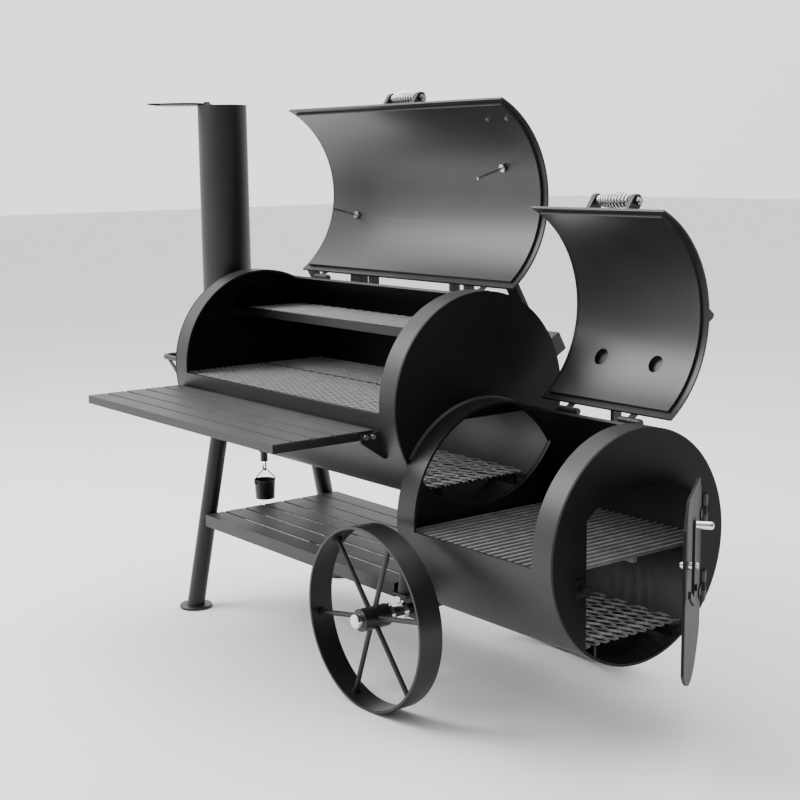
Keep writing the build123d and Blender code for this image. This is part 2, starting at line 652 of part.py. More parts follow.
def make_firebox_inside():
    x = (WALL + 14, FIREBOX_LEN - WALL - 12)
    coal_grate(x, FIREBOX_Z, ((-COAL_Y, COAL_Y),), (100, 410))
    axis = FIREBOX_Z + COOK_Z
    reach = 236.0
    grate = Part()
    pitch = (x[1] - x[0] - 2 * COOK_BAR_R) / (COOK_BARS - 1)
    for i in range(COOK_BARS):
        place = x[0] + COOK_BAR_R + i * pitch
        grate += rod((place, -reach, axis), (place, reach, axis), COOK_BAR_R)
    for y in (-reach + 8, 0, reach - 8):
        grate += box(x, (y - 6, y + 6), (axis - COOK_BAR_R - 9, axis - COOK_BAR_R + 3))
    group("firebox_cooking_grate", grate)
    ledge_top = axis - COOK_BAR_R - 9.2
    bore = rod((x[0] - 1, 0, FIREBOX_Z), (x[1] + 1, 0, FIREBOX_Z), PIPE_IN)
    ledges = []
    for side in (-1, 1):
        y = sorted((side * 214, side * 260))
        ledges.append(box(x, y, (ledge_top - 5, ledge_top)) & bore)
    group("grate_rails", *ledges)


# ---- firebox door -------------------------------------------------------------------------------------------
DOOR_FACE = FIREBOX_LEN + 0.4 + DOOR_T
DOOR_HINGES_Z = (-195.0, -365.0)
LATCH_Y = DOOR_HINGE[1] - LATCH_W
LEVER_X = (DOOR_FACE + 9, DOOR_FACE + 15)
LEVER_W = 22.0
TONGUE_W = 14.0
TONGUE_REACH = 80.0       # from the latch pivot, towards the free edge
TONGUE_DROP = 36.0        # the tongue's tip below the pivot
LEVER_DROP = 74.0         # the lever's foot below the pivot
KEEPER_TOP = -298.0


def make_door_hinges():
    """Two leaves on the door and two brackets on the end plate, with a pin in each pair."""
    hx, hy = DOOR_HINGE
    leaf_start = DOOR_HALF + DOOR_LAP - 52
    for z in DOOR_HINGES_Z:
        leaf = box((DOOR_FACE, DOOR_FACE + LEAF_T), (leaf_start, hy), (z - 9.5, z + 9.5))
        leaf += rod((hx, hy, z - 9.5), (hx, hy, z + 9.5), KNUCKLE_R)
        leaf -= rod((hx, hy, z - 20), (hx, hy, z + 20), PIN_R + RUN)
        group("firebox_door", door_swung(leaf))
        bracket = Part()
        for span in ((z - 30, z - 10), (z + 10, z + 30)):
            bracket += rod((hx, hy, span[0]), (hx, hy, span[1]), KNUCKLE_R)
            bracket += box((FIREBOX_LEN, hx), (hy - 4, hy + 6), span)
            bracket += box((FIREBOX_LEN, FIREBOX_LEN + 4), (hy - 4, hy + 22), span)
        bracket -= rod((hx, hy, z - 40), (hx, hy, z + 40), PIN_R + RUN)
        group("fixed_hinge_leaves", bracket)
        pin = rod((hx, hy, z - 33), (hx, hy, z + 33), PIN_R)
        pin += rod((hx, hy, z + 30), (hx, hy, z + 34), PIN_R + 2)
        pin += rod((hx, hy, z - 34), (hx, hy, z - 30), PIN_R + 2)
        group("hinge_pins", pin)


def make_latch():
    """An upright lever on a pivot bolt. Its tongue drops behind the lip of the keeper."""
    foot = LATCH_Z - LEVER_DROP
    lever = box(LEVER_X, (LATCH_Y - LEVER_W / 2, LATCH_Y + LEVER_W / 2), (foot, LATCH_Z + 94))
    rise = degrees(atan2(LEVER_DROP - TONGUE_DROP, TONGUE_REACH))
    length = TONGUE_REACH / cos(radians(rise))
    tongue = box(LEVER_X, (-length, 0), (-TONGUE_W / 2, TONGUE_W / 2))
    lever += Pos(0, LATCH_Y, foot) * Rot(-rise, 0, 0) * tongue
    lever -= rod((DOOR_FACE, LATCH_Y, LATCH_Z), (DOOR_FACE + 20, LATCH_Y, LATCH_Z), 5)
    lever += rod((LEVER_X[1], LATCH_Y, LATCH_Z - 44), (LEVER_X[1] + 5, LATCH_Y, LATCH_Z - 44), 7)
    group("door_latch_lever", door_swung(lever))

    grip_z = LATCH_Z + 82
    grip = rod((LEVER_X[1], LATCH_Y, grip_z), (LEVER_X[1] + 34, LATCH_Y, grip_z), 8)
    grip = fillet(grip.edges().sort_by(Axis.X)[-1], 6)
    bolt = rod((FIREBOX_LEN - 8, LATCH_Y, LATCH_Z), (LEVER_X[1] + 6, LATCH_Y, LATCH_Z), 5)
    bolt += rod((LEVER_X[1], LATCH_Y, LATCH_Z), (LEVER_X[1] + 5, LATCH_Y, LATCH_Z), 7)
    bolt += rod((FIREBOX_LEN - 5, LATCH_Y, LATCH_Z), (FIREBOX_LEN, LATCH_Y, LATCH_Z), 7)
    bolt += rod((DOOR_FACE + 0.3, LATCH_Y, LATCH_Z), (LEVER_X[0], LATCH_Y, LATCH_Z), 9)
    group("door_latch_grip", door_swung(grip), door_swung(bolt))

    keeper_y = (LATCH_Y - 55, LATCH_Y - 38.5)
    lip_x = (LEVER_X[1] + 1, LEVER_X[1] + 6)
    keeper = box((FIREBOX_LEN, lip_x[1]), keeper_y, (KEEPER_TOP - 16, KEEPER_TOP - 8.5))
    keeper += box(lip_x, keeper_y, (KEEPER_TOP - 16, KEEPER_TOP))
    keeper += box((FIREBOX_LEN, FIREBOX_LEN + 5), (keeper_y[0] - 4, keeper_y[1]), (KEEPER_TOP - 26, KEEPER_TOP + 12))
    group("door_latch_keeper", keeper)


def make_door():
    plate_x = (DOOR_FACE - DOOR_T, DOOR_FACE)
    door = door_outline(plate_x, DOOR_LAP, DOOR_FOOT_R)
    door -= rod((plate_x[0] - 1, LATCH_Y, LATCH_Z), (DOOR_FACE + 1, LATCH_Y, LATCH_Z), 5 + RUN)
    group("firebox_door", door_swung(door))
    make_door_hinges()
    make_latch()


# ---- legs, axle and wheels ----------------------------------------------------------------------------------
def leg(x, side, z_end):
    """A pipe leg that leans out from the chamber's underside, cut flat at its foot."""
    y_top, z_top = LEG_TOP
    slope = (LEG_FOOT_Y - y_top) / (z_top - FLOOR)
    high = z_top + 60
    low = z_end - 60
    start = (x, side * (y_top - slope * 60), high)
    end = (x, side * (y_top + slope * (z_top - low)), low)
    pipe = rod(start, end, LEG_R) - rod(start, end, LEG_R - 3.5)
    pipe -= rod((x - 40, 0, 0), (x + 40, 0, 0), PIPE_R)
    pipe -= box((x - 60, x + 60), (-400, 400), (z_end - 200, z_end))
    return pipe


def leg_y(z):
    """How far out a leg's middle stands at a height."""
    y_top, z_top = LEG_TOP
    return y_top + (LEG_FOOT_Y - y_top) * (z_top - z) / (z_top - FLOOR)


def make_legs():
    for side in (-1, 1):
        group("left_legs", leg(LEFT_LEG_X, side, FLOOR + FOOT_T))
        group("right_legs", leg(RIGHT_LEG_X, side, RIGHT_LEG_END))
    feet = []
    foot_y = leg_y(FLOOR + FOOT_T)
    for side in (-1, 1):
        y = side * foot_y
        foot = rod((LEFT_LEG_X, y, FLOOR), (LEFT_LEG_X, y, FLOOR + FOOT_T), FOOT_R)
        feet.append(chamfer(foot.edges().sort_by(Axis.Z)[-1], 1.5))
    group("left_legs", *feet)

    brackets = []
    for side in (-1, 1):
        y = side * leg_y(RIGHT_LEG_END)
        cap = box((RIGHT_LEG_X - LEG_R, -2), (y - 30, y + 30), (RIGHT_LEG_END - 8, RIGHT_LEG_END))
        cheek = box((RIGHT_LEG_X - LEG_R, AXLE_X + 24), (y - 5, y + 5), (AXLE_Z - 24, RIGHT_LEG_END - 8))
        bracket = cap + cheek
        bracket -= rod((AXLE_X, y - 40, AXLE_Z), (AXLE_X, y + 40, AXLE_Z), AXLE_R)
        brackets.append(bracket)
    group("right_legs", *brackets)

    hub_out = WHEEL_Y[1] + 6
    axle = rod((AXLE_X, -hub_out - 12, AXLE_Z), (AXLE_X, hub_out + 12, AXLE_Z), AXLE_R)
    group("axle", axle)
    collars = []
    screws = []
    for side in (-1, 1):
        for y0, y1 in ((WHEEL_Y[0] - 20, WHEEL_Y[0] - 8), (226, 238)):
            y = sorted((side * y0, side * y1))
            collar = rod((AXLE_X, y[0], AXLE_Z), (AXLE_X, y[1], AXLE_Z), AXLE_R + 7)
            collar -= rod((AXLE_X, y[0] - 1, AXLE_Z), (AXLE_X, y[1] + 1, AXLE_Z), AXLE_R)
            collars.append(collar)
            middle = (y[0] + y[1]) / 2
            screws.append(rod((AXLE_X, middle, AXLE_Z + AXLE_R + 7), (AXLE_X, middle, AXLE_Z + AXLE_R + 13), 4))
        y = side * (hub_out + 12)
        nut = rod((AXLE_X, y, AXLE_Z), (AXLE_X, y + side * 4, AXLE_Z), AXLE_R + 5)
        nut += rod((AXLE_X, y - side * 11.5, AXLE_Z), (AXLE_X, y, AXLE_Z), AXLE_R + 5)
        nut -= rod((AXLE_X, y - side * 20, AXLE_Z), (AXLE_X, y, AXLE_Z), AXLE_R)
        collars.append(fillet(nut.edges().sort_by(Axis.Y)[-1 if side > 0 else 0], 3))
    group("axle_collars", *collars)
    group("axle_collars", *screws)


def make_wheel(place, side):
    y = sorted((side * WHEEL_Y[0], side * WHEEL_Y[1]))
    middle = (y[0] + y[1]) / 2
    rim = rod((AXLE_X, y[0], AXLE_Z), (AXLE_X, y[1], AXLE_Z), WHEEL_R)
    rim -= rod((AXLE_X, y[0] - 1, AXLE_Z), (AXLE_X, y[1] + 1, AXLE_Z), WHEEL_R - RIM_T)
    group(place + "_wheel_rim", rim)
    hub = rod((AXLE_X, y[0] - 6, AXLE_Z), (AXLE_X, y[1] + 6, AXLE_Z), HUB_R)
    hub -= rod((AXLE_X, y[0] - 7, AXLE_Z), (AXLE_X, y[1] + 7, AXLE_Z), AXLE_R + RUN)
    group(place + "_wheel_spokes", hub)
    spokes = []
    nuts = []
    for i in range(SPOKES):
        turn = radians(SPOKE_START + 360 * i / SPOKES)
        way = Vector(cos(turn), 0, sin(turn))
        centre = Vector(AXLE_X, middle, AXLE_Z)
        spoke = rod(centre, centre + way * (WHEEL_R - RIM_T + 2), SPOKE_R)
        spoke -= rod((AXLE_X, y[0], AXLE_Z), (AXLE_X, y[1], AXLE_Z), HUB_R)
        bore = rod((AXLE_X, y[0], AXLE_Z), (AXLE_X, y[1], AXLE_Z), WHEEL_R - RIM_T)
        spokes.append(spoke & bore)
        nut = rod(centre + way * (WHEEL_R - RIM_T - 9), centre + way * WHEEL_R, SPOKE_R + 4)
        nut -= rod(centre, centre + way * WHEEL_R, SPOKE_R)
        nuts.append(nut & bore)
    group(place + "_wheel_spokes", *spokes)
    group(place + "_wheel_spokes", *nuts)


# ---- shelves and handle ---------------------------------------------------------------------------------------
def make_shelves():
    frame = angle_frame(SHELF_X, SHELF_Y, SHELF_TOP - SLAT_T - 18, 18)
    group("front_shelf_frame", frame)
    group("front_shelf_slats", *slats(SHELF_X, SHELF_Y, SHELF_TOP, SHELF_SLATS))
    brackets = []
    bolts = []
    for x0, x1 in ((SHELF_X[0] - 6, SHELF_X[0]), (SHELF_X[1], SHELF_X[1] + 6)):
        outline = Polyline((-298, -56), (-240, -56), (-200, -120), (-232, -120), (-298, -76), close=True)
        bracket = Pos(x0, 0, 0) * extrude(Plane.YZ * make_face(outline), amount=6)
        bracket -= rod((x0 - 1, 0, 0), (x1 + 1, 0, 0), PIPE_R)
        brackets.append(bracket)
        out = -1 if x0 < -500 else 1
        face = x0 if out < 0 else x1
        for y in (-286, -266):
            bolts.append(rod((face, y, -64), (face + out * 6, y, -64), 6))
    group("front_shelf_frame", *brackets)
    group("frame_bolts", *bolts)

    frame = angle_frame(LOW_X, LOW_Y, LOW_TOP - SLAT_T - 30, 30, flange=30.0, cross=(-488,))
    group("lower_shelf_frame", frame)
    group("lower_shelf_slats", *slats(LOW_X, LOW_Y, LOW_TOP, LOW_SLATS))


def make_lift_handle():
    """A round bar bent to a U on the left end plate, with a brace under each side."""
    reach = -1105.0
    side_y = 238.0
    height = 15.0
    bar_r = 7.0
    ends = ((-CHAMBER_LEN, -side_y, height), (reach, -side_y, height),
            (reach, side_y, height), (-CHAMBER_LEN, side_y, height))
    path = FilletPolyline(*ends, radius=30)
    bar = sweep(Plane(origin=ends[0], z_dir=(-1, 0, 0)) * Circle(bar_r), path=path)
    for side in (-1, 1):
        brace = rod((-CHAMBER_LEN - 70, side * side_y, height), (-CHAMBER_LEN + 8, side * side_y, -42), 5)
        brace -= box((-CHAMBER_LEN, -CHAMBER_LEN + 60), (-300, 300), (-100, 100))
        bar += brace
    group("left_lift_handle", bar)


# ---- drain and bucket ----------------------------------------------------------------------------------------
def make_drain():
    drain = rod((DRAIN_X, 0, DRAIN_END), (DRAIN_X, 0, -PIPE_R + 8), DRAIN_R)
    drain += rod((DRAIN_X, 0, -PIPE_R - 16), (DRAIN_X, 0, -PIPE_R + 8), DRAIN_R + 4)
    drain -= rod((DRAIN_X, 0, DRAIN_END - 1), (DRAIN_X, 0, 0), DRAIN_R - 3)
    drain -= rod((DRAIN_X - 30, 0, 0), (DRAIN_X + 30, 0, 0), PIPE_R)
    group("drain_pipe", drain)

    low = DRAIN_END - 20
    shank_x = DRAIN_X + HOOK_BEND
    down = Line((shank_x, 0, DRAIN_END), (shank_x, 0, low))
    bend = ThreePointArc((shank_x, 0, low), (DRAIN_X, 0, low - HOOK_BEND), (DRAIN_X - HOOK_BEND, 0, low))
    tip = Line((DRAIN_X - HOOK_BEND, 0, low), (DRAIN_X - HOOK_BEND, 0, low + 7))
    path = Wire([down, bend, tip])
    hook = sweep(Plane(origin=(shank_x, 0, DRAIN_END), z_dir=(0, 0, -1)) * Circle(HOOK_WIRE), path=path)
    group("drain_pipe", hook)

    apex = low - HOOK_BEND + HOOK_WIRE + BAIL_WIRE + 0.2
    ear_z = BUCKET_TOP - 6
    ear_y = BUCKET_R[0] + 5
    ends = ((DRAIN_X, -BUCKET_R[0] + 4, ear_z), (DRAIN_X, -ear_y, ear_z), (DRAIN_X, -ear_y + 3, ear_z + 12),
            (DRAIN_X, -4, apex), (DRAIN_X, 4, apex), (DRAIN_X, ear_y - 3, ear_z + 12),
            (DRAIN_X, ear_y, ear_z), (DRAIN_X, BUCKET_R[0] - 4, ear_z))
    path = FilletPolyline(*ends, radius=2.2)
    bail = sweep(Plane(origin=ends[0], z_dir=(0, -1, 0)) * Circle(BAIL_WIRE), path=path)
    group("bucket_bail", bail)

    top_r, low_r = BUCKET_R
    floor = BUCKET_TOP - BUCKET_H
    outer = Pos(DRAIN_X, 0, floor) * Cone(low_r, top_r, BUCKET_H, align=(Align.CENTER, Align.CENTER, Align.MIN))
    inner = Pos(DRAIN_X, 0, floor + BUCKET_WALL) * Cone(
        low_r - BUCKET_WALL, top_r - BUCKET_WALL, BUCKET_H, align=(Align.CENTER, Align.CENTER, Align.MIN))
    bucket = outer - inner
    bead = Pos(DRAIN_X, 0, BUCKET_TOP) * Torus(top_r, 1.4)
    bucket += bead
    for side in (-1, 1):
        ear = rod((DRAIN_X, side * (top_r - 1.2), ear_z), (DRAIN_X, side * (top_r + 1.6), ear_z), 4.5)
        bucket += ear
    bucket -= rod((DRAIN_X, -40, ear_z), (DRAIN_X, 40, ear_z), BAIL_WIRE + RUN)
    group("grease_bucket", bucket)


make_pipes()
make_main_lid()
make_firebox_lid()
make_stack()
make_chamber_inside()
make_firebox_inside()
make_door()
make_legs()
for place, side in (("front", -1), ("rear", 1)):
    make_wheel(place, side)
make_shelves()
make_lift_handle()
make_drain()

os.makedirs("parts", exist_ok=True)
for name, solids in parts.items():
    node = solids[0] if len(solids) == 1 else Compound(children=solids)
    export_step(node, f"parts/{name}.step")
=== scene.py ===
import json
import math

import bpy
from mathutils import Matrix, Vector


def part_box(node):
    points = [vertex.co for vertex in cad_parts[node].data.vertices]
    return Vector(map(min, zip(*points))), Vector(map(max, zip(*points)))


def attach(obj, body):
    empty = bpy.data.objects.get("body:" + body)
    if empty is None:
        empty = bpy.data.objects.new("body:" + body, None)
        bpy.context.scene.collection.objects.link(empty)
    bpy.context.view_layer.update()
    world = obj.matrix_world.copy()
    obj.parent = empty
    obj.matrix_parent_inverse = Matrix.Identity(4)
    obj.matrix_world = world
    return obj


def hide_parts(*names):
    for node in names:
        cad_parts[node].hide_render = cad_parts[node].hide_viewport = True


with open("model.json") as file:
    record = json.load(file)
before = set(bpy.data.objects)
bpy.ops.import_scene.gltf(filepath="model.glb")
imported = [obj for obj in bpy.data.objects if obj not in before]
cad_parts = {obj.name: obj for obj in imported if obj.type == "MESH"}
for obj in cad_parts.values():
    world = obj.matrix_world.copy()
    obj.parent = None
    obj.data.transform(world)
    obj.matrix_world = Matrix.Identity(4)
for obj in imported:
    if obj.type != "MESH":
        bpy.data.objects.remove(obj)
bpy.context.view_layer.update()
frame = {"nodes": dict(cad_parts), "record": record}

# Offset smoker: a horizontal cooking chamber with a lower firebox, a stack, two lids that stand open, a
# firebox door, a front shelf and a lower shelf, on legs at the stack end and a wheeled axle at the other.
# Metres, Z up, the front is -Y.

MM = 0.001


# ---- materials --------------------------------------------------------------------------------------------
def linear(hex_colour):
    """An sRGB hex colour as the linear values that a shader reads."""
    channels = [int(hex_colour[i:i + 2], 16) / 255 for i in (1, 3, 5)]
    return [c / 12.92 if c <= 0.04045 else ((c + 0.055) / 1.055) ** 2.4 for c in channels] + [1.0]


def per_mm(size_mm):
    """The scale at which a pattern repeats about every size_mm, on Object coordinates in metres."""
    return 1 / (size_mm * MM)


def add(tree, kind, settings=None, **links):
    """Adds a node, sets its sockets and properties, and links its inputs."""
    node = tree.nodes.new(kind)
    for name, value in (settings or {}).items():
        if name in node.inputs:
            node.inputs[name].default_value = value
        else:
            setattr(node, name, value)
    for name, source in links.items():
        tree.links.new(source, node.inputs[name.replace("_", " ")])
    return node


def colour_steps(node, steps):
    """Gives a colour ramp its steps, each a place and a hex colour."""
    ramp = node.color_ramp
    ramp.elements[0].position, ramp.elements[0].color = steps[0][0], linear(steps[0][1])
    ramp.elements[1].position, ramp.elements[1].color = steps[-1][0], linear(steps[-1][1])
    for place, colour in steps[1:-1]:
        ramp.elements.new(place).color = linear(colour)


def new_material(name):
    """A material with its node tree, its shader and the place on the object that its patterns read."""
    material = bpy.data.materials.new(name)
    material.use_nodes = True
    tree = material.node_tree
    shader = tree.nodes["Principled BSDF"]
    where = add(tree, "ShaderNodeTexCoord").outputs["Object"]
    return material, tree, shader, where


GRAIN_HEIGHT = 0.3 * MM


def coated(name, low, high, mottle_mm, rough, grain_mm, bump, metallic=0.0, specular=0.5, worn=None):
    """A sprayed or plated surface: soft colour mottle, uneven gloss and a fine grain in its height.

    worn is the colour and the size in mm of rubbed spots.
    """
    material, tree, shader, where = new_material(name)
    shader.inputs["Metallic"].default_value = metallic
    shader.inputs["Specular IOR Level"].default_value = specular
    cloud = add(tree, "ShaderNodeTexNoise", {"Scale": per_mm(mottle_mm), "Detail": 6.0, "Roughness": 0.6},
                Vector=where)
    tint = add(tree, "ShaderNodeValToRGB", Fac=cloud.outputs["Fac"])
    colour_steps(tint, ((0.3, low), (0.7, high)))
    colour = tint.outputs["Color"]
    if worn:
        worn_colour, worn_mm = worn
        wear = add(tree, "ShaderNodeTexNoise", {"Scale": per_mm(worn_mm), "Detail": 8.0}, Vector=where)
        spots = add(tree, "ShaderNodeValToRGB", Fac=wear.outputs["Fac"])
        colour_steps(spots, ((0.62, "#000000"), (0.72, "#FFFFFF")))
        mixed = add(tree, "ShaderNodeMixRGB", {"Color2": linear(worn_colour)}, Fac=spots.outputs["Color"],
                    Color1=colour)
        colour = mixed.outputs["Color"]
    tree.links.new(colour, shader.inputs["Base Color"])
    gloss = add(tree, "ShaderNodeMapRange", {"To Min": rough[0], "To Max": rough[1]},
                Value=cloud.outputs["Fac"])
    tree.links.new(gloss.outputs["Result"], shader.inputs["Roughness"])
    grain = add(tree, "ShaderNodeTexNoise", {"Scale": per_mm(grain_mm), "Detail": 3.0}, Vector=where)
    height = add(tree, "ShaderNodeBump", {"Strength": bump, "Distance": GRAIN_HEIGHT},
                 Height=grain.outputs["Fac"])
    tree.links.new(height.outputs["Normal"], shader.inputs["Normal"])
    return material


# High-temperature silicone paint, sprayed over rolled steel: satin black with a faint orange peel.
STOVE_PAINT = coated("stove_paint_satin_black", "#121212", "#191919", 140, (0.36, 0.48), 3.0, 0.25)
# The same paint on flat flame-cut plate: duller, with the mill scale's softer mottle, and darker as painted
# shade.
SHADED_PLATE_PAINT = coated("stove_paint_cut_plate_painted_shade", "#0D0D0D", "#131313", 90, (0.5, 0.62), 2.5, 0.3,
                     specular=0.2)
# The same paint on the rolled lid sheets: greyer as painted light on the open lids' inner faces, with a
# broader mottle and a stronger sheen.
LIT_LID_PAINT = coated("stove_paint_lid_sheet_painted_light", "#1A1A1A", "#242424", 180, (0.36, 0.46), 3.5, 0.2,
                   specular=0.75)
# Painted flat bar of the shelves, rubbed paler and drier by pots.
SLAT_PAINT = coated("stove_paint_shelf_slats", "#262626", "#333333", 90, (0.42, 0.6), 3.0, 0.3)
# Painted expanded steel and round bar, matt and slightly dusty; its pale grey is partly the grates' own
# colour and partly painted reflected light.
GRATE_PAINT = coated("stove_paint_grates", "#606060", "#7E7E7E", 30, (0.35, 0.55), 2.0, 0.4,
                     specular=0.7, worn=("#8A8680", 18))
# Zinc-plated fasteners: bright grey with a soft cloudy passivation.
ZINC = coated("zinc_plated_steel", "#A9ABAD", "#C9CACB", 12, (0.24, 0.38), 1.2, 0.2, metallic=1.0)
# Chromed spring wire: nearly a mirror, with light handling marks in its gloss.
CHROME = coated("chromed_spring_wire", "#D0D1D2", "#E2E3E4", 20, (0.08, 0.18), 2.0, 0.05, metallic=1.0)
# Stainless thermometer case, brushed.
STAINLESS = coated("brushed_stainless_steel", "#9C9C9A", "#B9B9B7", 8, (0.25, 0.4), 0.8, 0.2, metallic=1.0)
# Blackened sheet steel of the bucket.
BUCKET_STEEL = coated("bucket_sheet_steel", "#2B2B2C", "#3C3C3E", 25, (0.35, 0.5), 2.0, 0.2, metallic=0.6)
# White enamel of the thermometer dials.
DIAL_ENAMEL = coated("dial_enamel_white", "#DDDCD6", "#E9E8E3", 20, (0.25, 0.35), 2.0, 0.05)

SLOT_MATERIALS = {
    "satin_black_paint": STOVE_PAINT,
    "lid_paint": LIT_LID_PAINT,
    "grate_steel": GRATE_PAINT,
    "bright_plating": CHROME,
    "bolt_steel": ZINC,
    "case_steel": STAINLESS,
    "bucket_zinc": BUCKET_STEEL,
    "dial_face": DIAL_ENAMEL,
}
NODE_MATERIALS = {
    "front_shelf_slats": SLAT_PAINT,
    "lower_shelf_slats": SLAT_PAINT,
    # The end plates, the firebox door and its lever take the darker plate paint, a painted shade.
    "chamber_left_end": SHADED_PLATE_PAINT,
    "chamber_right_end": SHADED_PLATE_PAINT,
    "firebox_right_end": SHADED_PLATE_PAINT,
    "firebox_door": SHADED_PLATE_PAINT,
    "door_latch_lever": SHADED_PLATE_PAINT,
    "hinge_pins": STOVE_PAINT,
    "axle": STOVE_PAINT,
}


def dress_frame():
    """Every CAD node gets its finish in its object's slots."""
    for part in frame["record"]["subparts"]:
        node = frame["nodes"][part["node"]]
        material = NODE_MATERIALS.get(part["node"], SLOT_MATERIALS[part["material_slot"]])
        for holder in node.material_slots:
            holder.link = "OBJECT"
            holder.material = material


# ---- modelling helpers ------------------------------------------------------------------------------------
def start(name):
    """Names the primitive that was just added and leaves it in edit mode, all selected."""
    piece = bpy.context.object
    piece.name = name
    piece.data.name = name
    bpy.ops.object.mode_set(mode="EDIT")
    bpy.ops.mesh.select_all(action="SELECT")
    return piece


def finish_piece(piece, material, body, smooth=35):
    """Puts the piece's place in its mesh, and gives it its finish and its body."""
    if bpy.context.mode != "OBJECT":
        bpy.ops.object.mode_set(mode="OBJECT")
    bpy.ops.object.select_all(action="DESELECT")
    piece.select_set(True)
    bpy.context.view_layer.objects.active = piece
    for modifier in list(piece.modifiers):
        bpy.ops.object.modifier_apply(modifier=modifier.name)
    bpy.ops.object.transform_apply(location=True, rotation=True, scale=True)
    bpy.ops.object.shade_smooth_by_angle(angle=math.radians(smooth))
    piece.data.materials.clear()
    piece.data.materials.append(material)
    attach(piece, body)
    bpy.ops.object.select_all(action="DESELECT")
    return piece


# ---- expanded metal ---------------------------------------------------------------------------------------
# Each mesh: the diamond's long and short way, the strand's width and thickness, and how far it leans.
COOKING_MESH = (38 * MM, 17 * MM, 2.6 * MM, 1.6 * MM, 28)
CHARCOAL_MESH = (64 * MM, 28 * MM, 6.5 * MM, 2.6 * MM, 34)
FRONT_GRATE_DEPTH = 257 * MM
REAR_GRATE_DEPTH = 189 * MM
FIREBOX_COAL_LENGTH = 470 * MM
CHAMBER_COAL_LENGTH = 973 * MM
FRONT_COAL_DEPTH = 195 * MM
REAR_COAL_DEPTH = 98 * MM
COAL_T = 5 * MM
STRAND_LAP = 0.7          # of a strand's width, so that strands run into each other where they cross


def expanded_sheet(name, mesh, low, high):
    """Slit and stretched sheet: leaning strands that cross in diamonds, cut to the frame's size."""
    long_way, short_way, strand_w, strand_t, lean_deg = mesh
    angle = math.atan2(short_way, long_way)
    length = math.hypot(long_way, short_way) / 2
    middle_z = (low[2] + high[2]) / 2
    bpy.ops.object.select_all(action="DESELECT")
    bpy.ops.mesh.primitive_cube_add(size=1, scale=(length + strand_w * STRAND_LAP, strand_w, strand_t))
    strand = start(name)
    centre = (0, 0, 0)
    bpy.ops.transform.rotate(value=math.radians(lean_deg), orient_axis="X", center_override=centre)
    bpy.ops.transform.rotate(value=-angle, orient_axis="Z", center_override=centre)
    bpy.ops.transform.translate(value=(long_way / 4, short_way / 4, 0))
    mirrors = (((True, False, False), (-1, 1, 1)), ((False, True, False), (1, -1, 1)))
    for axis, flip in mirrors:
        bpy.ops.mesh.select_all(action="SELECT")
        bpy.ops.mesh.duplicate()
        bpy.ops.transform.resize(value=flip, center_override=centre, constraint_axis=axis)
        bpy.ops.mesh.flip_normals()
    bpy.ops.mesh.select_all(action="SELECT")
    bpy.ops.transform.translate(value=(low[0], low[1], middle_z))
    bpy.ops.object.mode_set(mode="OBJECT")
    for step in ((long_way, 0, 0), (0, short_way, 0)):
        reach = high[0] - low[0] if step[0] else high[1] - low[1]
        repeat = strand.modifiers.new("repeat", "ARRAY")
        repeat.use_relative_offset = False
        repeat.use_constant_offset = True
        repeat.constant_offset_displace = step
        repeat.count = int(reach / max(step)) + 2
        bpy.ops.object.modifier_apply(modifier=repeat.name)
    bpy.ops.object.mode_set(mode="EDIT")
    edges = ((low, (-1, 0, 0)), (low, (0, -1, 0)), (high, (1, 0, 0)), (high, (0, 1, 0)))
    for corner, outward in edges:
        bpy.ops.mesh.select_all(action="SELECT")
        bpy.ops.mesh.bisect(plane_co=corner, plane_no=outward, clear_outer=True, use_fill=True)
    return strand


def lay_sheet(name, mesh, low, high, body, node):
    """One sheet of mesh between two corners, in place of the frame's flat sheet."""
    sheet = expanded_sheet(name, mesh, low, high)
    finish_piece(sheet, GRATE_PAINT, body)
    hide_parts(node)


def make_grate_meshes():
    """The mesh of the upper rack, of the two cooking grates and of the three charcoal grates."""
    low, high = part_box("upper_rack_mesh")
    lay_sheet("upper_rack_expanded_metal", COOKING_MESH, low, high, "upper_rack", "upper_rack_mesh")

    low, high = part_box("cooking_grate_meshes")
    sheets = (("front", low, (high[0], low[1] + FRONT_GRATE_DEPTH, high[2])),
              ("rear", (low[0], high[1] - REAR_GRATE_DEPTH, low[2]), high))
    for place, near, far in sheets:
        lay_sheet(place + "_grate_expanded_metal", COOKING_MESH, near, far, "smoker",
                  "cooking_grate_meshes")

    low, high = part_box("charcoal_grates")
    chamber_end = low[0] + CHAMBER_COAL_LENGTH
    bottom = high[2] - COAL_T
    firebox_near = (high[0] - FIREBOX_COAL_LENGTH, low[1], low[2])
    firebox_far = (high[0], high[1], low[2] + COAL_T)
    front_far = (chamber_end, low[1] + FRONT_COAL_DEPTH, high[2])
    rear_near = (low[0], high[1] - REAR_COAL_DEPTH, bottom)
    sheets = (("firebox", firebox_near, firebox_far),
              ("chamber_front", (low[0], low[1], bottom), front_far),
              ("chamber_rear", rear_near, (chamber_end, high[1], high[2])))
    for place, near, far in sheets:
        lay_sheet(place + "_charcoal_expanded_metal", CHARCOAL_MESH, near, far, "smoker",
                  "charcoal_grates")


# ---- spring grips -----------------------------------------------------------------------------------------
GRIP_WIRE_R = 2.7 * MM
GRIP_TURNS = 11
GRIP_END_R = 8.4 * MM     # coil radius at the ends, where it rides on the bolt
GRIP_WIRE_SIDES = 10
GRIP_TURN_STEPS = 20
GRIP_SMOOTH = 60
SEAM_GAP = 0.01 * MM


